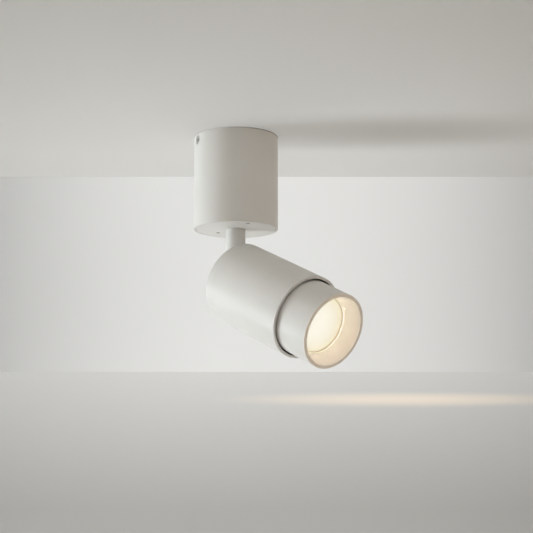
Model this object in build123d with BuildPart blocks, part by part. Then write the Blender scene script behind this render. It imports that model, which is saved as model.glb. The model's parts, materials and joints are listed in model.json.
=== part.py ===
from build123d import *
from math import cos, radians, sin, sqrt
import os

# A cylindrical spotlight that is screwed to a ceiling. Millimetres, +Z up.
# The origin is the middle of the ceiling plate, where it meets the ceiling.
# The head points along -Y and down, and it can be tilted, panned and drawn out.

# ---- Canopy: the cylinder on the ceiling ----
canopy_diameter = 80.0
canopy_height = 90.0
canopy_wall = 2.0
shadow_gap = 0.6
rim_bevel = 0.3
cap_inset = 0.1
cap_groove = 0.3
cap_thickness = 3.5
ledge_thickness = 3.0
ledge_width = 8.0

# ---- Ceiling plate and what is fixed to it ----
plate_clearance = 2.0
plate_thickness = 1.5
fixing_spacing = 52.0
fixing_slot_length = 11.0
fixing_slot_width = 5.0
tab_width = 12.0
tab_length = 13.0
tab_clearance = 0.6
side_screw_angle = 161.0
side_screw_drop = 6.7
side_hole_diameter = 8.4
side_head_diameter = 7.2
side_head_height = 2.2
side_shank_diameter = 4.0
side_shank_length = 6.0
hex_key_width = 2.5
hex_key_depth = 1.4
bush_diameter = 19.0
bush_bore_diameter = 9.0
bush_flange_width = 2.5
bush_flange_thickness = 1.5
bush_length = 6.0
earth_stud_diameter = 4.0
earth_stud_length = 11.0
earth_stud_offset = 27.0
earth_nut_width = 7.0
earth_nut_thickness = 3.2

# ---- Screws seen from below in the bottom cap ----
rim_screw_inset = 2.0
rim_screw_angle = -112.7
inner_screw_inset = 2.1
inner_screw_angle = 94.3
cap_screw_diameter = 2.0
cap_screw_head_diameter = 4.0
cap_screw_head_height = 1.2

# ---- Driver, its bracket, and the supply terminals ----
bracket_thickness = 1.5
bracket_width = 24.0
bracket_clearance = 0.9
bracket_foot = 6.5
bracket_top_drop = 18.0
driver_width = 50.0
driver_depth = 30.0
driver_gap = 7.5
driver_wall = 1.5
driver_corner = 2.5
board_thickness = 1.6
board_margin = 1.0
board_offset = 5.0
transformer_width = 18.0
transformer_height = 15.0
transformer_depth = 11.0
capacitor_diameter = 9.0
capacitor_length = 13.0
capacitor_spacing = 11.0
driver_screw_diameter = 3.0
driver_screw_spacing = 14.0
driver_screw_head = 6.0
driver_screw_head_height = 2.0
terminal_length = 24.0
terminal_depth = 11.0
terminal_height = 12.0
terminal_pitch = 7.5
terminal_bore = 3.4
terminal_screw_diameter = 3.0
terminal_screw_length = 4.0
clamp_length = 22.0
clamp_depth = 7.0
clamp_height = 7.0
clamp_cable_diameter = 7.5
clamp_screw_spacing = 15.0
clamp_screw_diameter = 2.6
clamp_screw_head = 4.8
clamp_screw_head_height = 1.6

# ---- Stem and swivel ----
stem_diameter = 18.3
stem_recess = 1.5
neck_diameter = 14.0
boss_diameter = 28.0
boss_height = 7.4
wire_bore_diameter = 8.0
friction_washer_inset = 1.0
friction_washer_thickness = 1.0
stop_washer_diameter = 22.0
stop_washer_thickness = 1.5
stop_tab_overhang = 2.0
stop_tab_width = 3.0
stop_pin_diameter = 3.0
stop_pin_gap = 1.5
spring_washer_diameter = 24.0
spring_washer_thickness = 0.9
spring_washer_rise = 0.6
swivel_nut_width = 24.0
swivel_nut_thickness = 6.0
neck_above_nut = 2.0
grommet_flange = 1.5
grommet_flange_thickness = 1.5
grommet_wall = 1.0
grommet_length = 5.0

# ---- Tilt joint ----
stem_reach = 49.5
rest_tilt = 65.0
tongue_thickness = 7.2
tongue_eye_diameter = 12.6
tongue_clearance = 0.3
pivot_washer_thickness = 1.1
pivot_washer_diameter = 11.0
pivot_side_gap = 0.1
fork_end_radius = 8.2
fork_slot_above_pivot = 10.0
pivot_bolt_diameter = 5.0
pivot_head_diameter = 8.2
pivot_head_thickness = 1.9
pivot_seat_diameter = 8.8
pivot_head_recess = 0.05

# ---- Head ----
head_diameter = 77.0
head_wall = 2.4
head_length = 98.0
rear_edge_ahead = 3.5
rear_edge_round = 1.0
mouth_bevel = 0.15
cap_face_ahead = 8.5
rear_cap_thickness = 5.0
rear_screw_inset = 10.1
rear_screw_count = 3
rear_screw_diameter = 3.0
rear_screw_head = 6.0
rear_screw_head_height = 1.7
rear_screw_length = 9.0
wire_grommet_inset = 6.0
wire_grommet_diameter = 6.0
wire_grommet_flange = 1.2
wire_hole_diameter = 3.0
sink_base_thickness = 5.0
sink_fin_thickness = 1.4
sink_fin_count = 14
sink_hub_diameter = 22.0
sink_fin_gap = 0.4
pedestal_gap = 8.5
pedestal_length = 8.0
led_board_width = 20.0
led_board_thickness = 1.5
emitter_diameter = 14.0
emitter_thickness = 0.5
holder_inset = 1.0
holder_height = 4.0
holder_window_diameter = 18.0
holder_screw_inset = 4.0
holder_screw_diameter = 2.5
holder_screw_head = 5.0
holder_screw_head_height = 1.6
holder_screw_grip = 4.0
reflector_clearance = 1.9
reflector_gap = 5.5
reflector_throat_diameter = 19.0
reflector_wall = 1.0
reflector_flange_gap = 2.0
reflector_flange_thickness = 1.5
reflector_bands = 4

# ---- Barrel that slides in the head ----
barrel_gap = 1.6
barrel_wall = 2.0
barrel_reach = 36.0
barrel_lip_width = 3.0
barrel_lip_depth = 1.2
lip_bevel = 0.3
guide_recess = 12.0
guide_length = 8.0
friction_ring_length = 1.5
rear_guide_length = 6.0
rear_guide_groove = 0.5
focus_out = 8.0
focus_in = 24.0
stop_clearance = 0.3
baffle_depth = 15.8
lens_cover = 3.6
baffle_wall = 1.2
seal_reveal = 0.5
seal_thickness = 0.6
lens_frame_wall = 3.5
lens_thickness = 3.0
lens_frame_lip = 1.6
lens_frame_ledge = 2.5
spanner_notch_width = 4.0

# ---- Clearances ----
turning_clearance = 0.05
seat_clearance = 0.05
loose_clearance = 0.2
small_corner = 1.5
stud_bevel = 0.4

# ---- Worked out from the values above ----
canopy_radius = canopy_diameter / 2
shell_inner_radius = canopy_radius - canopy_wall
ledge_inner_radius = shell_inner_radius - ledge_width
plate_radius = shell_inner_radius - plate_clearance
cap_bottom = cap_inset - canopy_height
cap_top = cap_bottom + cap_thickness
ledge_top = cap_top + ledge_thickness
boss_top = cap_top + boss_height
stop_pin_radius = (boss_diameter + stop_pin_diameter) / 2 + stop_pin_gap
stop_tab_reach = stop_pin_radius + stop_tab_overhang
neck_bottom = cap_bottom + stem_recess
stop_washer_bottom = boss_top + friction_washer_thickness
spring_bottom = stop_washer_bottom + stop_washer_thickness
nut_bottom = spring_bottom + spring_washer_thickness + spring_washer_rise
neck_top = nut_bottom + swivel_nut_thickness + neck_above_nut
tab_face = shell_inner_radius - tab_clearance
bracket_corner_radius = ledge_inner_radius - bracket_clearance
upright_outside = sqrt(bracket_corner_radius**2 - (bracket_width / 2) ** 2)
bracket_upright = upright_outside - bracket_thickness
rim_screw_radius = ledge_inner_radius + rim_screw_inset
inner_screw_radius = bracket_upright - inner_screw_inset
bracket_top = -bracket_top_drop
driver_top = bracket_top - bracket_thickness
driver_bottom = neck_top + grommet_flange_thickness + driver_gap
driver_height = driver_top - driver_bottom
driver_middle = bracket_upright - driver_depth / 2
driver_screw_level = (driver_top + driver_bottom) / 2
stem_radius = stem_diameter / 2
neck_radius = neck_diameter / 2

pivot_seat_span = stem_diameter - 2 * (pivot_head_thickness + pivot_head_recess)
pivot_drop = canopy_height + stem_reach
pivot = Vector(0, 0, -pivot_drop)
head_direction = Vector(0, -sin(radians(rest_tilt)), -cos(radians(rest_tilt)))
head_up = Vector(0, -cos(radians(rest_tilt)), sin(radians(rest_tilt)))
head_axis = Axis(pivot, head_direction)
head_section = Plane(origin=pivot, x_dir=head_up, z_dir=(1, 0, 0))
head_inner_radius = head_diameter / 2 - head_wall
barrel_radius = head_inner_radius - barrel_gap
barrel_inner_radius = barrel_radius - barrel_wall
lip_inner_radius = barrel_radius - barrel_lip_width
lens_radius = barrel_inner_radius - lens_frame_wall
baffle_throat_radius = lens_radius - lens_cover
baffle_slope = (lip_inner_radius - baffle_throat_radius) / baffle_depth
baffle_front_radius = lip_inner_radius - barrel_lip_depth * baffle_slope
head_mouth_ahead = rear_edge_ahead + head_length
barrel_front_ahead = head_mouth_ahead + barrel_reach
front_guide_ahead = head_mouth_ahead - guide_recess - guide_length
friction_ring_ahead = front_guide_ahead - friction_ring_length
barrel_rear_ahead = friction_ring_ahead - stop_clearance - focus_out - rear_guide_length
baffle_front_ahead = barrel_front_ahead - barrel_lip_depth
throat_ahead = barrel_front_ahead - baffle_depth
seal_ahead = throat_ahead - baffle_wall - seal_thickness
lens_ahead = seal_ahead - lens_thickness
frame_rear_ahead = lens_ahead - lens_frame_lip
rear_screw_radius = head_inner_radius - rear_screw_inset
pedestal_radius = barrel_inner_radius - pedestal_gap
wire_grommet_offset = pedestal_radius - wire_grommet_inset
holder_radius = pedestal_radius - holder_inset
holder_screw_radius = holder_radius - holder_screw_inset
holder_screw_spacing = 2 * holder_screw_radius
sink_base_ahead = cap_face_ahead + rear_cap_thickness
fins_ahead = sink_base_ahead + sink_base_thickness
pedestal_ahead = barrel_rear_ahead - focus_in - stop_clearance
led_ahead = pedestal_ahead + pedestal_length
holder_front_ahead = led_ahead + holder_height
reflector_length = frame_rear_ahead - focus_in - reflector_clearance - holder_front_ahead
reflector_flange_radius = holder_screw_radius - holder_screw_head / 2 - reflector_flange_gap


def head_face(ahead):
    """A plane square to the head's axis, this far ahead of the tilt pivot."""
    return Plane(origin=pivot + head_direction * ahead, x_dir=(1, 0, 0), z_dir=head_direction)


def side_plane(angle, radius, drop):
    """A plane that faces outwards from the canopy's axis, at this angle, radius and drop."""
    outward = Vector(cos(radians(angle)), sin(radians(angle)), 0)
    return Plane(origin=outward * radius - Vector(0, 0, drop), x_dir=(0, 0, 1), z_dir=outward)


def on_circle(radius, angle):
    """A point on a circle about the Z axis."""
    return (radius * cos(radians(angle)), radius * sin(radians(angle)))


side_angles = (side_screw_angle, side_screw_angle + 180)
rim_screw_place = on_circle(rim_screw_radius, rim_screw_angle)
inner_screw_place = on_circle(inner_screw_radius, inner_screw_angle)
os.makedirs("parts", exist_ok=True)

# ---- Ceiling plate: slotted fixing holes, cable hole, two turned-down tabs ----
with BuildPart() as ceiling_plate:
    with BuildSketch(Plane.XY) as plate_outline:
        Circle(plate_radius)
        for angle in side_angles:
            with Locations(Location(on_circle(tab_face / 2, angle), (0, 0, angle))):
                Rectangle(tab_face, tab_width)
        Circle(bush_diameter / 2 + seat_clearance, mode=Mode.SUBTRACT)
        with Locations((-fixing_spacing / 2, 0), (fixing_spacing / 2, 0)):
            SlotOverall(fixing_slot_length, fixing_slot_width, mode=Mode.SUBTRACT)
        with Locations((0, -earth_stud_offset)):
            Circle(earth_stud_diameter / 2 + seat_clearance, mode=Mode.SUBTRACT)
    extrude(amount=-plate_thickness)
    for angle in side_angles:
        with BuildSketch(side_plane(angle, tab_face, tab_length / 2)) as tab_outline:
            RectangleRounded(tab_length, tab_width, small_corner)
        extrude(amount=-plate_thickness)
        with BuildSketch(side_plane(angle, tab_face, side_screw_drop)) as tab_hole:
            Circle(side_shank_diameter / 2 + seat_clearance)
        extrude(amount=-plate_thickness, mode=Mode.SUBTRACT)
ceiling_plate.part.label = "ceiling_plate"
export_step(ceiling_plate.part, "parts/ceiling_plate.step")

# ---- Canopy shell: tube with an inner ledge that the bottom cap is screwed to ----
with BuildPart() as canopy_shell:
    with BuildSketch(Plane.XZ) as shell_profile:
        with BuildLine() as shell_line:
            Polyline(
                (canopy_radius, -shadow_gap),
                (canopy_radius, -canopy_height),
                (shell_inner_radius, -canopy_height),
                (shell_inner_radius, cap_top),
                (ledge_inner_radius, cap_top),
                (ledge_inner_radius, ledge_top),
                (shell_inner_radius, ledge_top),
                (shell_inner_radius, -shadow_gap),
                close=True,
            )
        make_face()
    revolve(axis=Axis.Z)
    rims = canopy_shell.edges().filter_by(GeomType.CIRCLE).group_by(SortBy.RADIUS)[-1]
    chamfer(rims, length=rim_bevel)
    for angle in side_angles:
        with BuildSketch(side_plane(angle, canopy_radius, side_screw_drop)) as side_hole:
            Circle(side_hole_diameter / 2)
        extrude(amount=-2 * canopy_wall, mode=Mode.SUBTRACT)
    with Locations((*rim_screw_place, ledge_top)):
        Hole(cap_screw_diameter / 2 + seat_clearance, depth=ledge_thickness)
canopy_shell.part.label = "canopy_shell"
export_step(canopy_shell.part, "parts/canopy_shell.step")

# ---- Side screws: their heads sit in the shell's holes, on the plate's tabs ----
with BuildPart() as side_screws:
    for angle in side_angles:
        with BuildSketch(side_plane(angle, tab_face, side_screw_drop)) as screw_head:
            Circle(side_head_diameter / 2)
        extrude(amount=side_head_height)
        with BuildSketch(side_plane(angle, tab_face, side_screw_drop)) as screw_shank:
            Circle(side_shank_diameter / 2)
        extrude(amount=-side_shank_length)
        with BuildSketch(side_plane(angle, tab_face + side_head_height, side_screw_drop)) as key_hole:
            RegularPolygon(hex_key_width / 2, 6, major_radius=False)
        extrude(amount=-hex_key_depth, mode=Mode.SUBTRACT)
side_screws.part.label = "side_screws"
export_step(side_screws.part, "parts/side_screws.step")

# ---- Cable bush in the plate's middle hole ----
with BuildPart() as cable_bush:
    with BuildSketch(Plane.XY) as bush_body:
        Circle(bush_diameter / 2)
    extrude(amount=-bush_length)
    with BuildSketch(Plane.XY.offset(-plate_thickness)) as bush_flange:
        Circle(bush_diameter / 2 + bush_flange_width)
    extrude(amount=-bush_flange_thickness)
    with BuildSketch(Plane.XY) as bush_bore:
        Circle(bush_bore_diameter / 2)
    extrude(amount=-bush_length, mode=Mode.SUBTRACT)
cable_bush.part.label = "cable_bush"
export_step(cable_bush.part, "parts/cable_bush.step")

# ---- Earth stud and its nut, under the plate ----
with BuildPart() as earth_stud:
    with BuildSketch(Plane.XY) as stud_section:
        with Locations((0, -earth_stud_offset)):
            Circle(earth_stud_diameter / 2)
    extrude(amount=-earth_stud_length)
    chamfer(earth_stud.faces().sort_by(Axis.Z)[0].edges(), length=stud_bevel)
earth_stud.part.label = "earth_stud"
export_step(earth_stud.part, "parts/earth_stud.step")

with BuildPart() as earth_nut:
    with BuildSketch(Plane.XY.offset(-plate_thickness)) as earth_nut_outline:
        with Locations((0, -earth_stud_offset)):
            RegularPolygon(earth_nut_width / 2, 6, major_radius=False)
            Circle(earth_stud_diameter / 2 + seat_clearance, mode=Mode.SUBTRACT)
    extrude(amount=-earth_nut_thickness)
earth_nut.part.label = "earth_nut"
export_step(earth_nut.part, "parts/earth_nut.step")

# ---- Bottom cap: disc, raised boss for the swivel, recess for the stem ----
with BuildPart() as bottom_cap:
    with BuildSketch(Plane.XY.offset(cap_bottom)) as cap_disc:
        Circle(shell_inner_radius - cap_groove)
    extrude(amount=cap_thickness)
    with BuildSketch(Plane.XY.offset(cap_top)) as cap_boss:
        Circle(boss_diameter / 2)
    extrude(amount=boss_height)
    with BuildSketch(Plane.XY.offset(cap_bottom)) as neck_bore:
        Circle(neck_radius + turning_clearance)
    extrude(amount=cap_thickness + boss_height, mode=Mode.SUBTRACT)
    with BuildSketch(Plane.XY.offset(cap_bottom)) as stem_seat:
        Circle(stem_radius + loose_clearance)
    extrude(amount=stem_recess, mode=Mode.SUBTRACT)
    with BuildSketch(Plane.XY.offset(cap_bottom)) as screw_seats:
        with Locations(rim_screw_place, inner_screw_place):
            Circle(cap_screw_head_diameter / 2 + loose_clearance)
    extrude(amount=cap_screw_head_height + loose_clearance, mode=Mode.SUBTRACT)
    with BuildSketch(Plane.XY.offset(cap_bottom)) as screw_bores:
        with Locations(rim_screw_place, inner_screw_place):
            Circle(cap_screw_diameter / 2 + seat_clearance)
    extrude(amount=cap_thickness, mode=Mode.SUBTRACT)
    stop_pin_place = on_circle(stop_pin_radius, inner_screw_angle + 180)
    with Locations((*stop_pin_place, cap_top)):
        Hole(stop_pin_diameter / 2 + seat_clearance, depth=cap_thickness / 2)
bottom_cap.part.label = "bottom_cap"
export_step(bottom_cap.part, "parts/bottom_cap.step")

# ---- The two screws that show in the bottom cap ----
with BuildPart() as cap_screws:
    screw_seat = cap_bottom + cap_screw_head_height + loose_clearance
    with BuildSketch(Plane.XY.offset(screw_seat)) as cap_screw_heads:
        with Locations(rim_screw_place, inner_screw_place):
            Circle(cap_screw_head_diameter / 2)
    extrude(amount=-cap_screw_head_height)
    with BuildSketch(Plane.XY.offset(screw_seat)) as rim_shank:
        with Locations(rim_screw_place):
            Circle(cap_screw_diameter / 2)
    extrude(amount=ledge_top - screw_seat)
    with BuildSketch(Plane.XY.offset(screw_seat)) as inner_shank:
        with Locations(inner_screw_place):
            Circle(cap_screw_diameter / 2)
    extrude(amount=cap_top + bracket_thickness - screw_seat)
cap_screws.part.label = "cap_screws"
export_step(cap_screws.part, "parts/cap_screws.step")

# ---- Stop pin, pressed into the bottom cap beside the boss ----
with BuildPart() as stop_pin:
    pin_foot = cap_top - cap_thickness / 2
    with BuildSketch(Plane.XY.offset(pin_foot)) as pin_section:
        with Locations(stop_pin_place):
            Circle(stop_pin_diameter / 2)
    extrude(amount=spring_bottom + stop_washer_thickness - pin_foot)
stop_pin.part.label = "stop_pin"
export_step(stop_pin.part, "parts/stop_pin.step")

# ---- Driver bracket: foot, upright and top flange, folded from one strip ----
with BuildPart() as driver_bracket:
    flange_inside = bracket_upright - driver_depth
    with BuildSketch(Plane.YZ.offset(-bracket_width / 2)) as bracket_profile:
        with BuildLine() as bracket_line:
            Polyline(
                (bracket_upright - bracket_foot, cap_top),
                (upright_outside, cap_top),
                (upright_outside, bracket_top),
                (flange_inside, bracket_top),
                (flange_inside, driver_top),
                (bracket_upright, driver_top),
                (bracket_upright, cap_top + bracket_thickness),
                (bracket_upright - bracket_foot, cap_top + bracket_thickness),
                close=True,
            )
        make_face()
        fold = bracket_profile.vertices().filter_by(lambda corner: corner.Z > cap_top + 1)
        fillet(fold.filter_by(lambda corner: corner.Y > upright_outside - 0.01), bracket_thickness)
    extrude(amount=bracket_width)
    with BuildSketch(Plane.XY.offset(cap_top)) as foot_hole:
        with Locations(inner_screw_place):
            Circle(cap_screw_diameter / 2 + seat_clearance)
    extrude(amount=bracket_thickness, mode=Mode.SUBTRACT)
    with BuildSketch(Plane.XZ.offset(-upright_outside)) as upright_holes:
        with Locations((0, driver_screw_level)):
            with GridLocations(driver_screw_spacing, 0, 2, 1):
                Circle(driver_screw_diameter / 2 + seat_clearance)
    extrude(amount=bracket_thickness, mode=Mode.SUBTRACT)
    with BuildSketch(Plane.XY.offset(driver_top)) as clamp_holes:
        with GridLocations(clamp_screw_spacing, 0, 2, 1):
            Circle(clamp_screw_diameter / 2 + seat_clearance)
    extrude(amount=bracket_thickness, mode=Mode.SUBTRACT)
driver_bracket.part.label = "driver_bracket"
export_step(driver_bracket.part, "parts/driver_bracket.step")

# ---- Driver: case open below, cover, circuit board and its largest parts ----
with BuildPart() as driver_case:
    with BuildSketch(Plane.XY.offset(driver_bottom + driver_wall)) as case_outline:
        with Locations((0, driver_middle)):
            RectangleRounded(driver_width, driver_depth, driver_corner)
    extrude(amount=driver_height - driver_wall)
    offset(amount=-driver_wall, openings=driver_case.faces().sort_by(Axis.Z)[0])
    with BuildSketch(Plane.XZ.offset(-bracket_upright)) as case_holes:
        with Locations((0, driver_screw_level)):
            with GridLocations(driver_screw_spacing, 0, 2, 1):
                Circle(driver_screw_diameter / 2 + seat_clearance)
    extrude(amount=driver_wall, mode=Mode.SUBTRACT)
driver_case.part.label = "driver_case"
export_step(driver_case.part, "parts/driver_case.step")

with BuildPart() as driver_cover:
    with BuildSketch(Plane.XY.offset(driver_bottom)) as cover_outline:
        with Locations((0, driver_middle)):
            RectangleRounded(driver_width, driver_depth, driver_corner)
    extrude(amount=driver_wall)
    with BuildSketch(Plane.XY.offset(driver_bottom)) as lead_holes:
        with Locations((0, driver_middle)):
            with GridLocations(driver_width / 2, 0, 2, 1):
                Circle(wire_hole_diameter / 2)
    extrude(amount=driver_wall, mode=Mode.SUBTRACT)
driver_cover.part.label = "driver_cover"
export_step(driver_cover.part, "parts/driver_cover.step")

board_bottom = driver_bottom + driver_wall
board_top = driver_top - driver_wall - loose_clearance
board_middle = (board_bottom + board_top) / 2
board_face = driver_middle + board_offset
with BuildPart() as driver_board:
    with BuildSketch(Plane.XZ.offset(-board_face)) as board_outline:
        with Locations((0, board_middle)):
            Rectangle(driver_width - 2 * driver_wall - 2 * board_margin, board_top - board_bottom)
    extrude(amount=-board_thickness)
driver_board.part.label = "driver_board"
export_step(driver_board.part, "parts/driver_board.step")

with BuildPart() as driver_transformer:
    with BuildSketch(Plane.XZ.offset(-board_face)) as core_outline:
        with Locations((-transformer_width / 2, board_middle)):
            Rectangle(transformer_width, transformer_height)
    extrude(amount=transformer_depth)
    chamfer(driver_transformer.faces().sort_by(Axis.Y)[0].edges(), length=board_margin)
driver_transformer.part.label = "driver_transformer"
export_step(driver_transformer.part, "parts/driver_transformer.step")

with BuildPart() as driver_capacitors:
    with BuildSketch(Plane.XZ.offset(-board_face)) as capacitor_outline:
        with Locations((capacitor_spacing, board_middle)):
            with GridLocations(0, capacitor_spacing, 1, 2):
                Circle(capacitor_diameter / 2)
    extrude(amount=capacitor_length)
driver_capacitors.part.label = "driver_capacitors"
export_step(driver_capacitors.part, "parts/driver_capacitors.step")

with BuildPart() as driver_screws:
    with BuildSketch(Plane.XZ.offset(-upright_outside)) as driver_screw_heads:
        with Locations((0, driver_screw_level)):
            with GridLocations(driver_screw_spacing, 0, 2, 1):
                Circle(driver_screw_head / 2)
    extrude(amount=-driver_screw_head_height)
    with BuildSketch(Plane.XZ.offset(-upright_outside)) as driver_screw_shanks:
        with Locations((0, driver_screw_level)):
            with GridLocations(driver_screw_spacing, 0, 2, 1):
                Circle(driver_screw_diameter / 2)
    extrude(amount=bracket_thickness + driver_wall)
driver_screws.part.label = "driver_screws"
export_step(driver_screws.part, "parts/driver_screws.step")

# ---- Terminal block on the bracket's top flange, with three ways ----
terminal_middle = bracket_upright - terminal_depth / 2
terminal_top = bracket_top + terminal_height
with BuildPart() as terminal_block:
    with BuildSketch(Plane.XY.offset(bracket_top)) as block_outline:
        with Locations((0, terminal_middle)):
            Rectangle(terminal_length, terminal_depth)
    extrude(amount=terminal_height)
    with BuildSketch(Plane.XY.offset(terminal_top)) as screw_wells:
        with Locations((0, terminal_middle)):
            with GridLocations(terminal_pitch, 0, 3, 1):
                Circle(terminal_screw_diameter / 2 + loose_clearance)
    extrude(amount=-terminal_screw_length - loose_clearance, mode=Mode.SUBTRACT)
    with BuildSketch(Plane.XZ.offset(terminal_depth / 2 - terminal_middle)) as wire_ways:
        with Locations((0, bracket_top + terminal_height / 3)):
            with GridLocations(terminal_pitch, 0, 3, 1):
                Circle(terminal_bore / 2)
    extrude(amount=-terminal_depth, mode=Mode.SUBTRACT)
terminal_block.part.label = "terminal_block"
export_step(terminal_block.part, "parts/terminal_block.step")

with BuildPart() as terminal_screws:
    with BuildSketch(Plane.XY.offset(terminal_top - loose_clearance)) as terminal_screw_outline:
        with Locations((0, terminal_middle)):
            with GridLocations(terminal_pitch, 0, 3, 1):
                Circle(terminal_screw_diameter / 2)
    extrude(amount=-terminal_screw_length)
terminal_screws.part.label = "terminal_screws"
export_step(terminal_screws.part, "parts/terminal_screws.step")

# ---- Cord clamp: a bridge over the supply cable, with its two screws ----
with BuildPart() as cord_clamp:
    with BuildSketch(Plane.XZ.offset(-clamp_depth / 2)) as clamp_profile:
        with Locations((0, bracket_top + clamp_height / 2)):
            Rectangle(clamp_length, clamp_height)
        with Locations((0, bracket_top)):
            Circle(clamp_cable_diameter / 2, mode=Mode.SUBTRACT)
    extrude(amount=clamp_depth)
    with BuildSketch(Plane.XY.offset(bracket_top)) as clamp_bores:
        with GridLocations(clamp_screw_spacing, 0, 2, 1):
            Circle(clamp_screw_diameter / 2 + seat_clearance)
    extrude(amount=clamp_height, mode=Mode.SUBTRACT)
cord_clamp.part.label = "cord_clamp"
export_step(cord_clamp.part, "parts/cord_clamp.step")

with BuildPart() as clamp_screws:
    with BuildSketch(Plane.XY.offset(bracket_top + clamp_height)) as clamp_screw_heads:
        with GridLocations(clamp_screw_spacing, 0, 2, 1):
            Circle(clamp_screw_head / 2)
    extrude(amount=clamp_screw_head_height)
    with BuildSketch(Plane.XY.offset(bracket_top + clamp_height)) as clamp_screw_shanks:
        with GridLocations(clamp_screw_spacing, 0, 2, 1):
            Circle(clamp_screw_diameter / 2)
    extrude(amount=-clamp_height - bracket_thickness)
clamp_screws.part.label = "clamp_screws"
export_step(clamp_screws.part, "parts/clamp_screws.step")

# ---- Stem: neck through the cap, round bar, fork around the tilt pivot ----
fork_slot_width = tongue_thickness + 2 * (pivot_washer_thickness + pivot_side_gap)
fork_web_face = tongue_eye_diameter / 2 + tongue_clearance
with BuildPart() as stem:
    with BuildSketch(Plane.XY.offset(neck_bottom)) as bar_section:
        Circle(stem_radius)
    extrude(amount=-pivot_drop - neck_bottom)
    with BuildSketch(Plane.YZ.offset(-stem_radius)) as fork_end:
        with Locations((0, -pivot_drop)):
            Circle(fork_end_radius)
    fork_disc = extrude(amount=stem_diameter, mode=Mode.PRIVATE)
    with BuildSketch(Plane.XY.offset(-pivot_drop)) as lower_bar:
        Circle(stem_radius)
    bar_tip = extrude(amount=-fork_end_radius, mode=Mode.PRIVATE)
    add(bar_tip & fork_disc)
    with BuildSketch(Plane.XY.offset(neck_bottom)) as neck_section:
        Circle(neck_radius)
    extrude(amount=neck_top - neck_bottom)
    with BuildSketch(Plane.XY.offset(neck_top)) as wire_bore:
        Circle(wire_bore_diameter / 2)
    extrude(amount=fork_slot_above_pivot - pivot_drop - neck_top, mode=Mode.SUBTRACT)
    with BuildSketch(Plane.YZ.offset(-fork_slot_width / 2)) as fork_slot:
        with BuildLine() as fork_slot_line:
            Polyline(
                (-stem_diameter, fork_slot_above_pivot - pivot_drop),
                (fork_web_face, fork_slot_above_pivot - pivot_drop),
                (fork_web_face, -pivot_drop - stem_radius),
                (-stem_diameter, -pivot_drop - stem_radius),
                close=True,
            )
        make_face()
    extrude(amount=fork_slot_width, mode=Mode.SUBTRACT)
    with BuildSketch(Plane.YZ.offset(-stem_radius)) as pivot_bore:
        with Locations((0, -pivot_drop)):
            Circle(pivot_bolt_diameter / 2 + seat_clearance)
    extrude(amount=stem_diameter, mode=Mode.SUBTRACT)
    with BuildSketch(Plane.YZ.offset(pivot_seat_span / 2)) as nut_seat:
        with Locations((0, -pivot_drop)):
            Circle(pivot_seat_diameter / 2)
    extrude(amount=stem_radius, mode=Mode.SUBTRACT)
    with BuildSketch(Plane.YZ.offset(-pivot_seat_span / 2)) as bolt_seat:
        with Locations((0, -pivot_drop)):
            Circle(pivot_seat_diameter / 2)
    extrude(amount=-stem_radius, mode=Mode.SUBTRACT)
stem.part.label = "stem"
export_step(stem.part, "parts/stem.step")

# ---- Swivel stack on the boss: friction washer, stop washer, cone washer, nut ----
with BuildPart() as friction_washer:
    with BuildSketch(Plane.XY.offset(boss_top)) as washer_outline:
        Circle(boss_diameter / 2 - friction_washer_inset)
        Circle(neck_radius + seat_clearance, mode=Mode.SUBTRACT)
    extrude(amount=friction_washer_thickness)
friction_washer.part.label = "friction_washer"
export_step(friction_washer.part, "parts/friction_washer.step")

with BuildPart() as stop_washer:
    with BuildSketch(Plane.XY.offset(stop_washer_bottom)) as stop_outline:
        Circle(stop_washer_diameter / 2)
        with Locations(Location(on_circle(stop_tab_reach / 2, inner_screw_angle), (0, 0, inner_screw_angle))):
            Rectangle(stop_tab_reach, stop_tab_width)
        Circle(neck_radius + seat_clearance, mode=Mode.SUBTRACT)
    extrude(amount=stop_washer_thickness)
stop_washer.part.label = "stop_washer"
export_step(stop_washer.part, "parts/stop_washer.step")

with BuildPart() as cone_washer:
    with BuildSketch(Plane.XZ) as cone_profile:
        with BuildLine() as cone_line:
            Polyline(
                (neck_radius + seat_clearance, spring_bottom + spring_washer_rise),
                (spring_washer_diameter / 2, spring_bottom),
                (spring_washer_diameter / 2, spring_bottom + spring_washer_thickness),
                (neck_radius + seat_clearance, nut_bottom),
                close=True,
            )
        make_face()
    revolve(axis=Axis.Z)
cone_washer.part.label = "cone_washer"
export_step(cone_washer.part, "parts/cone_washer.step")

with BuildPart() as swivel_nut:
    with BuildSketch(Plane.XY.offset(nut_bottom)) as nut_outline:
        RegularPolygon(swivel_nut_width / 2, 6, major_radius=False)
        Circle(neck_radius + seat_clearance, mode=Mode.SUBTRACT)
    extrude(amount=swivel_nut_thickness)
swivel_nut.part.label = "swivel_nut"
export_step(swivel_nut.part, "parts/swivel_nut.step")

with BuildPart() as stem_grommet:
    with BuildSketch(Plane.XY.offset(neck_top)) as grommet_cap:
        Circle(wire_bore_diameter / 2 + grommet_flange)
    extrude(amount=grommet_flange_thickness)
    with BuildSketch(Plane.XY.offset(neck_top)) as grommet_sleeve:
        Circle(wire_bore_diameter / 2 - seat_clearance)
    extrude(amount=-grommet_length)
    with BuildSketch(Plane.XY.offset(neck_top + grommet_flange_thickness)) as grommet_hole:
        Circle(wire_bore_diameter / 2 - grommet_wall)
    extrude(amount=-grommet_length - grommet_flange_thickness, mode=Mode.SUBTRACT)
stem_grommet.part.label = "stem_grommet"
export_step(stem_grommet.part, "parts/stem_grommet.step")

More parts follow.
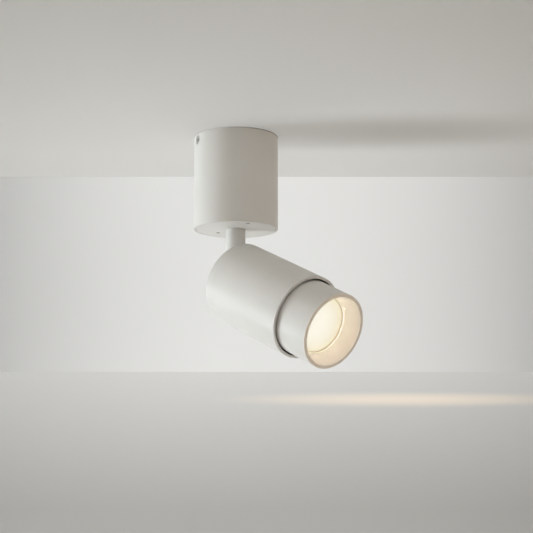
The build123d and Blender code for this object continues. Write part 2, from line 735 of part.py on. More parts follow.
# ---- Tilt pivot: bolt from one side, nut on the other, washers beside the tongue ----
with BuildPart() as pivot_bolt:
    with BuildSketch(Plane.YZ.offset(-pivot_seat_span / 2)) as bolt_head:
        with Locations((0, -pivot_drop)):
            Circle(pivot_head_diameter / 2)
    extrude(amount=-pivot_head_thickness)
    with BuildSketch(Plane.YZ.offset(-pivot_seat_span / 2)) as bolt_shank:
        with Locations((0, -pivot_drop)):
            Circle(pivot_bolt_diameter / 2)
    extrude(amount=pivot_seat_span + pivot_head_thickness)
    with BuildSketch(Plane.YZ.offset(-pivot_seat_span / 2 - pivot_head_thickness)) as bolt_key:
        with Locations((0, -pivot_drop)):
            RegularPolygon(hex_key_width / 2, 6, major_radius=False)
    extrude(amount=hex_key_depth, mode=Mode.SUBTRACT)
pivot_bolt.part.label = "pivot_bolt"
export_step(pivot_bolt.part, "parts/pivot_bolt.step")

with BuildPart() as pivot_nut:
    with BuildSketch(Plane.YZ.offset(pivot_seat_span / 2)) as pivot_nut_outline:
        with Locations((0, -pivot_drop)):
            Circle(pivot_head_diameter / 2)
            Circle(pivot_bolt_diameter / 2 + seat_clearance, mode=Mode.SUBTRACT)
            Rectangle(pivot_head_diameter, pivot_head_thickness / 2, mode=Mode.SUBTRACT)
    extrude(amount=pivot_head_thickness)
    with BuildSketch(Plane.YZ.offset(pivot_seat_span / 2)) as pivot_nut_web:
        with Locations((0, -pivot_drop)):
            Circle(pivot_head_diameter / 2)
            Circle(pivot_bolt_diameter / 2 + seat_clearance, mode=Mode.SUBTRACT)
    extrude(amount=pivot_head_thickness / 2)
pivot_nut.part.label = "pivot_nut"
export_step(pivot_nut.part, "parts/pivot_nut.step")

with BuildPart() as pivot_washers:
    for side in (-1, 1):
        with BuildSketch(Plane.YZ.offset(side * tongue_thickness / 2)) as pivot_washer_outline:
            with Locations((0, -pivot_drop)):
                Circle(pivot_washer_diameter / 2)
                Circle(pivot_bolt_diameter / 2 + turning_clearance, mode=Mode.SUBTRACT)
        extrude(amount=side * pivot_washer_thickness)
pivot_washers.part.label = "pivot_washers"
export_step(pivot_washers.part, "parts/pivot_washers.step")

# ---- Rear cap of the head, with the tongue that turns on the pivot bolt ----
with BuildPart() as rear_cap:
    with BuildSketch(head_face(cap_face_ahead)) as rear_disc:
        Circle(head_inner_radius - seat_clearance)
    extrude(amount=rear_cap_thickness)
    with BuildSketch(head_section.offset(-tongue_thickness / 2)) as tongue_profile:
        Circle(tongue_eye_diameter / 2)
        with Locations((0, cap_face_ahead / 2)):
            Rectangle(tongue_eye_diameter, cap_face_ahead)
    extrude(amount=tongue_thickness)
    with BuildSketch(head_section.offset(-tongue_thickness / 2)) as tongue_bore:
        Circle(pivot_bolt_diameter / 2 + turning_clearance)
    extrude(amount=tongue_thickness, mode=Mode.SUBTRACT)
    with BuildSketch(head_face(cap_face_ahead)) as rear_holes:
        with PolarLocations(rear_screw_radius, rear_screw_count, start_angle=-90):
            Circle(rear_screw_diameter / 2 + seat_clearance)
        with Locations((0, wire_grommet_offset)):
            Circle(wire_grommet_diameter / 2 + seat_clearance)
    extrude(amount=rear_cap_thickness, mode=Mode.SUBTRACT)
    with BuildSketch(head_face(cap_face_ahead)) as rear_sinks:
        with PolarLocations(rear_screw_radius, rear_screw_count, start_angle=-90):
            Circle(rear_screw_head / 2 + loose_clearance)
    extrude(amount=rear_screw_head_height, mode=Mode.SUBTRACT)
rear_cap.part.label = "rear_cap"
export_step(rear_cap.part, "parts/rear_cap.step")

with BuildPart() as rear_cap_screws:
    with BuildSketch(head_face(cap_face_ahead)) as rear_screw_heads:
        with PolarLocations(rear_screw_radius, rear_screw_count, start_angle=-90):
            Circle(rear_screw_head / 2)
    extrude(amount=rear_screw_head_height)
    with BuildSketch(head_face(cap_face_ahead + rear_screw_head_height)) as rear_screw_shanks:
        with PolarLocations(rear_screw_radius, rear_screw_count, start_angle=-90):
            Circle(rear_screw_diameter / 2)
    extrude(amount=rear_screw_length - rear_screw_head_height)
    with BuildSketch(head_face(cap_face_ahead)) as rear_screw_keys:
        with PolarLocations(rear_screw_radius, rear_screw_count, start_angle=-90):
            RegularPolygon(hex_key_width / 2, 6, major_radius=False)
    extrude(amount=rear_screw_head_height / 2, mode=Mode.SUBTRACT)
rear_cap_screws.part.label = "rear_cap_screws"
export_step(rear_cap_screws.part, "parts/rear_cap_screws.step")

with BuildPart() as wire_grommet:
    with BuildSketch(head_face(cap_face_ahead)) as wire_grommet_sleeve:
        with Locations((0, wire_grommet_offset)):
            Circle(wire_grommet_diameter / 2)
    extrude(amount=rear_cap_thickness)
    with BuildSketch(head_face(cap_face_ahead)) as wire_grommet_rim:
        with Locations((0, wire_grommet_offset)):
            Circle(wire_grommet_diameter / 2 + wire_grommet_flange)
    extrude(amount=-wire_grommet_flange)
    with BuildSketch(head_face(cap_face_ahead - wire_grommet_flange)) as wire_grommet_bore:
        with Locations((0, wire_grommet_offset)):
            Circle(wire_hole_diameter / 2)
    extrude(amount=rear_cap_thickness + wire_grommet_flange, mode=Mode.SUBTRACT)
wire_grommet.part.label = "wire_grommet"
export_step(wire_grommet.part, "parts/wire_grommet.step")

# ---- Head tube ----
with BuildPart() as head_tube:
    with BuildSketch(head_face(rear_edge_ahead)) as tube_section:
        Circle(head_diameter / 2)
        Circle(head_inner_radius, mode=Mode.SUBTRACT)
    extrude(amount=head_length)
    tube_ends = head_tube.faces().sort_by(head_axis)
    fillet(tube_ends[0].edges().sort_by(SortBy.RADIUS)[-1], radius=rear_edge_round)
    mouth_edges = head_tube.faces().sort_by(head_axis)[-1].edges()
    chamfer(mouth_edges, length=mouth_bevel)
head_tube.part.label = "head_tube"
export_step(head_tube.part, "parts/head_tube.step")

# ---- Heat sink: base against the rear cap, radial fins, pedestal for the lamp ----
with BuildPart() as heat_sink:
    with BuildSketch(head_face(sink_base_ahead)) as sink_base:
        Circle(head_inner_radius - seat_clearance)
    extrude(amount=sink_base_thickness)
    with BuildSketch(head_face(fins_ahead)) as sink_fins:
        Circle(sink_hub_diameter / 2)
        fin_reach = head_inner_radius - sink_fin_gap
        with PolarLocations(fin_reach / 2, sink_fin_count):
            Rectangle(fin_reach, sink_fin_thickness)
    extrude(amount=pedestal_ahead - fins_ahead)
    with BuildSketch(head_face(pedestal_ahead)) as pedestal:
        Circle(pedestal_radius)
    extrude(amount=pedestal_length)
    with BuildSketch(head_face(led_ahead)) as holder_taps:
        with GridLocations(holder_screw_spacing, 0, 2, 1):
            Circle(holder_screw_diameter / 2 + seat_clearance)
    extrude(amount=-holder_screw_grip, mode=Mode.SUBTRACT)
    with BuildSketch(head_face(sink_base_ahead)) as base_taps:
        with PolarLocations(rear_screw_radius, rear_screw_count, start_angle=-90):
            Circle(rear_screw_diameter / 2 + seat_clearance)
    extrude(amount=rear_screw_length - rear_cap_thickness, mode=Mode.SUBTRACT)
    with BuildSketch(head_face(sink_base_ahead)) as wire_way:
        with Locations((0, wire_grommet_offset)):
            Circle(wire_grommet_diameter / 2)
    extrude(amount=led_ahead - sink_base_ahead, mode=Mode.SUBTRACT)
heat_sink.part.label = "heat_sink"
export_step(heat_sink.part, "parts/heat_sink.step")

# ---- Lamp: board, light-emitting disc, holder and its screws ----
with BuildPart() as led_board:
    with BuildSketch(head_face(led_ahead)) as led_board_outline:
        Rectangle(led_board_width, led_board_width)
    extrude(amount=led_board_thickness)
led_board.part.label = "led_board"
export_step(led_board.part, "parts/led_board.step")

with BuildPart() as led_emitter:
    with BuildSketch(head_face(led_ahead + led_board_thickness)) as emitter_outline:
        Circle(emitter_diameter / 2)
    extrude(amount=emitter_thickness)
led_emitter.part.label = "led_emitter"
export_step(led_emitter.part, "parts/led_emitter.step")

with BuildPart() as led_holder:
    board_pocket_width = led_board_width + 2 * loose_clearance
    with BuildSketch(head_face(led_ahead)) as holder_outline:
        Circle(holder_radius)
        Rectangle(board_pocket_width, board_pocket_width, mode=Mode.SUBTRACT)
    extrude(amount=led_board_thickness)
    with BuildSketch(head_face(led_ahead + led_board_thickness)) as holder_front:
        Circle(holder_radius)
        Circle(holder_window_diameter / 2, mode=Mode.SUBTRACT)
    extrude(amount=holder_height - led_board_thickness)
    with BuildSketch(head_face(led_ahead)) as holder_bores:
        with GridLocations(holder_screw_spacing, 0, 2, 1):
            Circle(holder_screw_diameter / 2 + seat_clearance)
        with Locations((0, wire_grommet_offset)):
            Circle(wire_grommet_diameter / 2)
    extrude(amount=holder_height, mode=Mode.SUBTRACT)
led_holder.part.label = "led_holder"
export_step(led_holder.part, "parts/led_holder.step")

with BuildPart() as holder_screws:
    with BuildSketch(head_face(holder_front_ahead)) as holder_screw_heads:
        with GridLocations(holder_screw_spacing, 0, 2, 1):
            Circle(holder_screw_head / 2)
    extrude(amount=holder_screw_head_height)
    with BuildSketch(head_face(holder_front_ahead)) as holder_screw_shanks:
        with GridLocations(holder_screw_spacing, 0, 2, 1):
            Circle(holder_screw_diameter / 2)
    extrude(amount=-holder_height - holder_screw_grip)
holder_screws.part.label = "holder_screws"
export_step(holder_screws.part, "parts/holder_screws.step")

# ---- Reflector: a flared bowl that stands on the holder ----
throat_radius = reflector_throat_diameter / 2
mouth_radius = barrel_inner_radius - reflector_gap
bowl_inside = []
for step in range(reflector_bands + 1):
    share = step / reflector_bands
    band_radius = throat_radius + (mouth_radius - throat_radius) * share**0.5
    bowl_inside.append((band_radius, holder_front_ahead + reflector_length * share))
bowl_outside = [(radius + reflector_wall, ahead) for radius, ahead in reversed(bowl_inside)]
with BuildPart() as reflector:
    with BuildSketch(head_section) as bowl_profile:
        with BuildLine() as bowl_line:
            Polyline(*bowl_inside, *bowl_outside, close=True)
        make_face()
    revolve(axis=head_axis)
    with BuildSketch(head_face(holder_front_ahead)) as bowl_flange:
        Circle(reflector_flange_radius)
        Circle(throat_radius + reflector_wall / 2, mode=Mode.SUBTRACT)
    extrude(amount=reflector_flange_thickness)
    with BuildSketch(head_face(holder_front_ahead)) as bowl_throat:
        Circle(throat_radius)
    extrude(amount=reflector_flange_thickness, mode=Mode.SUBTRACT)
reflector.part.label = "reflector"
export_step(reflector.part, "parts/reflector.step")

# ---- Front guide and friction ring: fixed in the head tube, round the barrel ----
with BuildPart() as front_guide:
    with BuildSketch(head_face(front_guide_ahead)) as guide_section:
        Circle(head_inner_radius - seat_clearance)
        Circle(barrel_radius + turning_clearance, mode=Mode.SUBTRACT)
    extrude(amount=guide_length)
front_guide.part.label = "front_guide"
export_step(front_guide.part, "parts/front_guide.step")

with BuildPart() as friction_ring:
    with BuildSketch(head_face(friction_ring_ahead)) as friction_ring_section:
        Circle(head_inner_radius - seat_clearance)
        Circle(barrel_radius + turning_clearance, mode=Mode.SUBTRACT)
    extrude(amount=friction_ring_length)
friction_ring.part.label = "friction_ring"
export_step(friction_ring.part, "parts/friction_ring.step")

# ---- Barrel tube: groove for the rear guide, narrow lip round its mouth ----
groove_radius = barrel_radius - rear_guide_groove
with BuildPart() as barrel_tube:
    rear_guide_front = barrel_rear_ahead + rear_guide_length
    with BuildSketch(head_section) as barrel_profile:
        with BuildLine() as barrel_line:
            Polyline(
                (barrel_inner_radius, barrel_rear_ahead),
                (groove_radius, barrel_rear_ahead),
                (groove_radius, rear_guide_front),
                (barrel_radius, rear_guide_front),
                (barrel_radius, barrel_front_ahead),
                (lip_inner_radius, barrel_front_ahead),
                (baffle_front_radius, baffle_front_ahead),
                (barrel_inner_radius, baffle_front_ahead),
                close=True,
            )
        make_face()
    revolve(axis=head_axis)
    lip_edges = barrel_tube.faces().filter_by(GeomType.PLANE).sort_by(head_axis)[-1].edges()
    chamfer(lip_edges.sort_by(SortBy.RADIUS)[-1], length=lip_bevel)
barrel_tube.part.label = "barrel_tube"
export_step(barrel_tube.part, "parts/barrel_tube.step")

with BuildPart() as rear_guide:
    with BuildSketch(head_face(barrel_rear_ahead)) as rear_guide_section:
        Circle(head_inner_radius - turning_clearance)
        Circle(groove_radius + seat_clearance, mode=Mode.SUBTRACT)
    extrude(amount=rear_guide_length)
rear_guide.part.label = "rear_guide"
export_step(rear_guide.part, "parts/rear_guide.step")

# ---- Baffle: cone from the barrel's lip to the lens, with a flange at each end ----
with BuildPart() as baffle:
    flange_radius = barrel_inner_radius - seat_clearance
    flange_back = baffle_front_ahead - baffle_wall
    cone_back = throat_ahead - baffle_wall
    slope_at_back = baffle_front_radius - baffle_wall * baffle_slope + baffle_wall
    with BuildSketch(head_section) as baffle_profile:
        with BuildLine() as baffle_line:
            Polyline(
                (baffle_front_radius, baffle_front_ahead),
                (flange_radius, baffle_front_ahead),
                (flange_radius, flange_back),
                (slope_at_back, flange_back),
                (baffle_throat_radius + baffle_wall, throat_ahead),
                (flange_radius, throat_ahead),
                (flange_radius, cone_back),
                (baffle_throat_radius, cone_back),
                (baffle_throat_radius, throat_ahead),
                close=True,
            )
        make_face()
    revolve(axis=head_axis)
baffle.part.label = "baffle"
export_step(baffle.part, "parts/baffle.step")

# ---- Lens, the seal in front of it and the ring that holds both ----
with BuildPart() as lens_seal:
    with BuildSketch(head_face(seal_ahead)) as seal_section:
        Circle(lens_radius)
        Circle(baffle_throat_radius - seal_reveal, mode=Mode.SUBTRACT)
    extrude(amount=seal_thickness)
lens_seal.part.label = "lens_seal"
export_step(lens_seal.part, "parts/lens_seal.step")

with BuildPart() as lens:
    with BuildSketch(head_face(lens_ahead)) as lens_outline:
        Circle(lens_radius)
    extrude(amount=lens_thickness)
lens.part.label = "lens"
export_step(lens.part, "parts/lens.step")

with BuildPart() as lens_frame:
    frame_front_ahead = throat_ahead - baffle_wall
    with BuildSketch(head_section) as frame_profile:
        with BuildLine() as frame_line:
            Polyline(
                (flange_radius, frame_front_ahead),
                (flange_radius, frame_rear_ahead),
                (lens_radius - lens_frame_ledge, frame_rear_ahead),
                (lens_radius - lens_frame_ledge, lens_ahead),
                (lens_radius + seat_clearance, lens_ahead),
                (lens_radius + seat_clearance, frame_front_ahead),
                close=True,
            )
        make_face()
    revolve(axis=head_axis)
    with BuildSketch(head_face(frame_rear_ahead)) as spanner_notches:
        Rectangle(2 * flange_radius, spanner_notch_width)
    extrude(amount=lens_frame_lip / 2, mode=Mode.SUBTRACT)
lens_frame.part.label = "lens_frame"
export_step(lens_frame.part, "parts/lens_frame.step")

print("tilt pivot at", pivot, "and head direction", head_direction)
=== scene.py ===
import bpy
import json
from math import cos, radians, sin, tan
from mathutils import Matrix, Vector


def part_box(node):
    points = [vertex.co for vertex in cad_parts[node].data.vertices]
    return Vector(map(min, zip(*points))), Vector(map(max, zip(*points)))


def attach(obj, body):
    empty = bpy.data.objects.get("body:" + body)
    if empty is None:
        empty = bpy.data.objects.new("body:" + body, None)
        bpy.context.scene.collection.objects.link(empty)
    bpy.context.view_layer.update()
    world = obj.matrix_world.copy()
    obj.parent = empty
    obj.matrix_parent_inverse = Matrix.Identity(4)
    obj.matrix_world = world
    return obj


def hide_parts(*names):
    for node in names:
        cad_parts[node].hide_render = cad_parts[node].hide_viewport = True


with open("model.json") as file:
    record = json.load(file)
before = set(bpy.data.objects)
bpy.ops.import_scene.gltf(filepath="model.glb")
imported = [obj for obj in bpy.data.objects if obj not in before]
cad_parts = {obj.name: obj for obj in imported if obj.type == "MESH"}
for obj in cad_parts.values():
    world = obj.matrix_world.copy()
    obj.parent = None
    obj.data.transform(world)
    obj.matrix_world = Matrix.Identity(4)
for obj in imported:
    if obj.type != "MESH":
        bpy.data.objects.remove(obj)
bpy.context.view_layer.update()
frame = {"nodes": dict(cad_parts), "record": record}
nodes = frame["nodes"]
slotOf = {part["node"]: part["material_slot"] for part in frame["record"]["subparts"]}

# the camera stands below and to the left of the lamp, and looks a little upwards
cameraSetup = {"place": (-0.781765, -0.832245, -0.321701), "pitch": 9.764, "yaw": 44.669, "lens": 82.78}


def addCamera(s):
    data = bpy.data.cameras.new("camera")
    data.lens = s["lens"]
    data.clip_start = 0.01
    camera = bpy.data.objects.new("camera", data)
    camera.location = s["place"]
    camera.rotation_euler = (radians(90 + s["pitch"]), 0, -radians(s["yaw"]))
    bpy.context.collection.objects.link(camera)
    bpy.context.scene.camera = camera


addCamera(cameraSetup)
# level directions as the camera has them, and the place right above or below it
yaw = radians(cameraSetup["yaw"])
ahead = Vector((sin(yaw), cos(yaw), 0))
right = Vector((cos(yaw), -sin(yaw), 0))
eye = Vector(cameraSetup["place"])
eye.z = 0
bpy.context.scene.view_settings.view_transform = "Standard"
print("camera set")


# small helpers for node trees
def addNode(tree, kind, **sockets):
    node = tree.nodes.new(kind)
    for name, value in sockets.items():
        node.inputs[name.replace("_", " ")].default_value = value
    return node


def newMaterial(name):
    material = bpy.data.materials.new(name)
    material.use_nodes = True
    tree = material.node_tree
    return material, tree, tree.nodes["Principled BSDF"]


def newGroup(name, inputs, outputs):
    group = bpy.data.node_groups.new(name, "ShaderNodeTree")
    for label, kind, value in inputs:
        socket = group.interface.new_socket(name=label, in_out="INPUT", socket_type=kind)
        socket.default_value = value
    for label, kind in outputs:
        group.interface.new_socket(name=label, in_out="OUTPUT", socket_type=kind)
    return group, group.nodes.new("NodeGroupInput"), group.nodes.new("NodeGroupOutput")


def mixColours(tree, factor, first, second):
    mix = tree.nodes.new("ShaderNodeMix")
    mix.data_type = "RGBA"
    tree.links.new(factor, mix.inputs[0])
    for socket, value in ((mix.inputs[6], first), (mix.inputs[7], second)):
        if isinstance(value, bpy.types.NodeSocket):
            tree.links.new(value, socket)
        else:
            socket.default_value = value
    return mix.outputs[2]


def mathNode(tree, operation, first, second=None, third=None):
    node = tree.nodes.new("ShaderNodeMath")
    node.operation = operation
    for socket, value in zip(node.inputs, (first, second, third)):
        if isinstance(value, bpy.types.NodeSocket):
            tree.links.new(value, socket)
        elif value is not None:
            socket.default_value = value
    return node.outputs[0]


def distanceAlong(tree, coords, direction, start):
    # how far a point lies beyond start in one direction
    product = tree.nodes.new("ShaderNodeVectorMath")
    product.operation = "DOT_PRODUCT"
    tree.links.new(coords, product.inputs[0])
    product.inputs[1].default_value = direction
    return mathNode(tree, "SUBTRACT", product.outputs["Value"], direction.dot(start))


def distanceFrom(tree, coords, place):
    away = tree.nodes.new("ShaderNodeVectorMath")
    away.operation = "DISTANCE"
    tree.links.new(coords, away.inputs[0])
    away.inputs[1].default_value = place
    return away.outputs["Value"]


def spread(tree, value, low, high, fromLow=0.3, fromHigh=0.7):
    ranger = tree.nodes.new("ShaderNodeMapRange")
    tree.links.new(value, ranger.inputs["Value"])
    ranger.inputs["From Min"].default_value = fromLow
    ranger.inputs["From Max"].default_value = fromHigh
    for name, limit in (("To Min", low), ("To Max", high)):
        if isinstance(limit, bpy.types.NodeSocket):
            tree.links.new(limit, ranger.inputs[name])
        else:
            ranger.inputs[name].default_value = limit
    return ranger.outputs["Result"]


# the head's axis points the way the barrel slides out
slide = next(joint for joint in frame["record"]["behaviour"]["joints"] if joint["name"] == "focus")
headAxis = Vector(slide["axis"]).normalized()
headTurn = headAxis.to_track_quat("Z", "Y").to_euler()


def middleOf(node):
    low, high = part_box(node)
    return (Vector(low) + Vector(high)) / 2


# one finish group: fine grain over broad unevenness, both from the object's own coordinates
surfaceGrain = {"grainShare": 0.6, "patchShare": 0.4, "grainDetail": 3.0, "grainRoughness": 0.6, "patchDetail": 2.0}


def makeGrainGroup(s):
    group, given, result = newGroup(
        "surfaceGrain",
        [("Pale", "NodeSocketColor", (0.8, 0.8, 0.8, 1)), ("Deep", "NodeSocketColor", (0.7, 0.7, 0.7, 1)),
         ("Grain Size", "NodeSocketFloat", 1400.0), ("Patch Size", "NodeSocketFloat", 30.0),
         ("Low Roughness", "NodeSocketFloat", 0.5), ("High Roughness", "NodeSocketFloat", 0.6)],
        [("Color", "NodeSocketColor"), ("Roughness", "NodeSocketFloat"), ("Height", "NodeSocketFloat")])
    links = group.links
    coords = group.nodes.new("ShaderNodeTexCoord")
    grain = addNode(group, "ShaderNodeTexNoise", Detail=s["grainDetail"], Roughness=s["grainRoughness"])
    patch = addNode(group, "ShaderNodeTexNoise", Detail=s["patchDetail"])
    for texture, size in ((grain, "Grain Size"), (patch, "Patch Size")):
        links.new(coords.outputs["Object"], texture.inputs["Vector"])
        links.new(given.outputs[size], texture.inputs["Scale"])
    broad = mathNode(group, "MULTIPLY", patch.outputs[0], s["patchShare"])
    both = mathNode(group, "MULTIPLY_ADD", grain.outputs[0], s["grainShare"], broad)
    mask = spread(group, both, 0.0, 1.0)
    links.new(mixColours(group, mask, given.outputs["Deep"], given.outputs["Pale"]), result.inputs["Color"])
    rough = spread(group, patch.outputs[0], given.outputs["Low Roughness"], given.outputs["High Roughness"])
    links.new(rough, result.inputs["Roughness"])
    links.new(grain.outputs[0], result.inputs["Height"])
    return group


grainGroup = makeGrainGroup(surfaceGrain)

# painted shade and highlight on the glow: the lens is palest left of its middle and dims towards its edge as
# painted shade; the bead round it has a painted highlight, brightest at the right
lensShade = {"lean": 0.25, "shift": 0.004, "dimFrom": 0.012, "dimTo": 0.029, "edge": 0.0252, "beadDim": 0.006,
             "beadBright": 0.021}


def makeLensGroup(s):
    group, given, result = newGroup("lensGlowPaintedShade", [("Bright", "NodeSocketColor", (1, 1, 1, 1)),
                                                 ("Dim", "NodeSocketColor", (1, 1, 1, 1))],
                                    [("Color", "NodeSocketColor")])
    coords = group.nodes.new("ShaderNodeTexCoord").outputs["Object"]
    # a direction across the lens, to the right and a little down, fixed on the object, along which the painted
    # shade and highlight fall
    low = right + Vector((0, 0, -s["lean"]))
    low = (low - headAxis * low.dot(headAxis)).normalized()
    middle = middleOf("lens_seal")
    fromPalest = distanceFrom(group, coords, middle - low * s["shift"])
    dimLens = spread(group, fromPalest, 0.0, 1.0, s["dimFrom"], s["dimTo"])
    lowSide = distanceAlong(group, coords, low, middle)
    dimBead = spread(group, lowSide, 1.0, 0.0, s["beadDim"], s["beadBright"])
    onBead = mathNode(group, "GREATER_THAN", distanceFrom(group, coords, middle), s["edge"])
    onLens = mathNode(group, "SUBTRACT", 1.0, onBead)
    # painted shade across the lens and a painted highlight on the bead
    dim = mathNode(group, "MULTIPLY_ADD", onBead, dimBead, mathNode(group, "MULTIPLY", onLens, dimLens))
    glow = mixColours(group, dim, given.outputs["Bright"], given.outputs["Dim"])
    group.links.new(glow, result.inputs["Color"])
    return group


# painted light and shade along the head's axis: a warm light on the lip's face, shade on the cone's outer part
def makeAxisGroup():
    group, given, result = newGroup("axisPaintedLightAndShade", [("Behind", "NodeSocketColor", (1, 1, 1, 1)),
                                                 ("Ahead", "NodeSocketColor", (1, 1, 1, 1)),
                                                 ("Start", "NodeSocketFloat", 0.0),
                                                 ("End", "NodeSocketFloat", 0.0)],
                                    [("Color", "NodeSocketColor")])
    coords = group.nodes.new("ShaderNodeTexCoord").outputs["Object"]
    beyond = distanceAlong(group, coords, headAxis, mouthPlace)
    ranger = group.nodes.new("ShaderNodeMapRange")
    group.links.new(beyond, ranger.inputs["Value"])
    group.links.new(given.outputs["Start"], ranger.inputs["From Min"])
    group.links.new(given.outputs["End"], ranger.inputs["From Max"])
    faded = mixColours(group, ranger.outputs["Result"], given.outputs["Behind"], given.outputs["Ahead"])
    group.links.new(faded, result.inputs["Color"])
    return group


# painted shade: the head tube's inner wall by its mouth is painted dark, where the gap round the barrel lies in
# shade
tubeGapShade = {"radiusFrom": 0.0352, "radiusTo": 0.0363, "deepest": -0.06, "outermost": -0.0362}


def makeGapShadeGroup(s):
    group, given, result = newGroup("tubeGapShade", [("Paint", "NodeSocketColor", (1, 1, 1, 1)),
                                                   ("Inside", "NodeSocketColor", (0, 0, 0, 1))],
                                    [("Color", "NodeSocketColor")])
    coords = group.nodes.new("ShaderNodeTexCoord").outputs["Object"]
    offset = group.nodes.new("ShaderNodeVectorMath")
    offset.operation = "SUBTRACT"
    group.links.new(coords, offset.inputs[0])
    offset.inputs[1].default_value = middleOf("lens_seal")
    across = group.nodes.new("ShaderNodeVectorMath")
    across.operation = "CROSS_PRODUCT"
    group.links.new(offset.outputs["Vector"], across.inputs[0])
    across.inputs[1].default_value = headAxis
    radius = group.nodes.new("ShaderNodeVectorMath")
    radius.operation = "LENGTH"
    group.links.new(across.outputs["Vector"], radius.inputs[0])
    beyond = distanceAlong(group, coords, headAxis, mouthPlace)
    mask = mathNode(group, "GREATER_THAN", radius.outputs["Value"], s["radiusFrom"])
    for operation, value, limit in (("LESS_THAN", radius.outputs["Value"], s["radiusTo"]),
                                    ("GREATER_THAN", beyond, s["deepest"]),
                                    ("LESS_THAN", beyond, s["outermost"])):
        mask = mathNode(group, "MULTIPLY", mask, mathNode(group, operation, value, limit))
    paint = mixColours(group, mask, given.outputs["Paint"], given.outputs["Inside"])
    group.links.new(paint, result.inputs["Color"])
    return group


# the barrel's lip is the point of it that lies furthest along the axis
barrel = nodes["barrel_tube"]
mouthPlace = headAxis * max((barrel.matrix_world @ v.co).dot(headAxis) for v in barrel.data.vertices)
lensGroup = makeLensGroup(lensShade)
axisGroup = makeAxisGroup()
gapShadeGroup = makeGapShadeGroup(tubeGapShade)


def grainMaterial(s):
    material, tree, shader = newMaterial(s["name"])
    grain = tree.nodes.new("ShaderNodeGroup")
    grain.node_tree = grainGroup
    grain.inputs["Pale"].default_value = (*s["pale"], 1)
    grain.inputs["Deep"].default_value = (*s["deep"], 1)
    grain.inputs["Grain Size"].default_value = s["grain"]
    grain.inputs["Patch Size"].default_value = s.get("patch", 30.0)
    grain.inputs["Low Roughness"].default_value = s["rough"][0]
    grain.inputs["High Roughness"].default_value = s["rough"][1]
    tree.links.new(grain.outputs["Color"], shader.inputs["Base Color"])
    tree.links.new(grain.outputs["Roughness"], shader.inputs["Roughness"])
    bump = addNode(tree, "ShaderNodeBump", Strength=s["bump"], Distance=s.get("depth", 0.0001))
    tree.links.new(grain.outputs["Height"], bump.inputs["Height"])
    tree.links.new(bump.outputs["Normal"], shader.inputs["Normal"])
    shader.inputs["Metallic"].default_value = s.get("metal", 0.0)
    shader.inputs["Coat Weight"].default_value = s.get("coat", 0.0)
    shader.inputs["Specular IOR Level"].default_value = s.get("specular", 0.5)
    if "ahead" in s:
        # painted light and shade: the colour turns into another one between two places on the head's axis, counted
        # from the mouth
        fade = tree.nodes.new("ShaderNodeGroup")
        fade.node_tree = axisGroup
        tree.links.new(grain.outputs["Color"], fade.inputs["Behind"])
        fade.inputs["Ahead"].default_value = (*s["ahead"], 1)
        fade.inputs["Start"].default_value, fade.inputs["End"].default_value = s["between"]
        tree.links.new(fade.outputs["Color"], shader.inputs["Base Color"])
    # painted shade on the head tube's inner wall by the gap
    if "inside" in s:
        wall = tree.nodes.new("ShaderNodeGroup")
        wall.node_tree = gapShadeGroup
        tree.links.new(fade.outputs["Color"], wall.inputs["Paint"])
        wall.inputs["Inside"].default_value = (*s["inside"], 1)
        tree.links.new(wall.outputs["Color"], shader.inputs["Base Color"])
    if "glow" in s:
        shader.inputs["Emission Color"].default_value = (*s["glow"], 1)
        shader.inputs["Emission Strength"].default_value = s["power"]
    if "dim" in s:
        lens = tree.nodes.new("ShaderNodeGroup")
        lens.node_tree = lensGroup
        lens.inputs["Bright"].default_value = (*s["glow"], 1)
        lens.inputs["Dim"].default_value = (*s["dim"], 1)
        tree.links.new(lens.outputs["Color"], shader.inputs["Emission Color"])
    return material


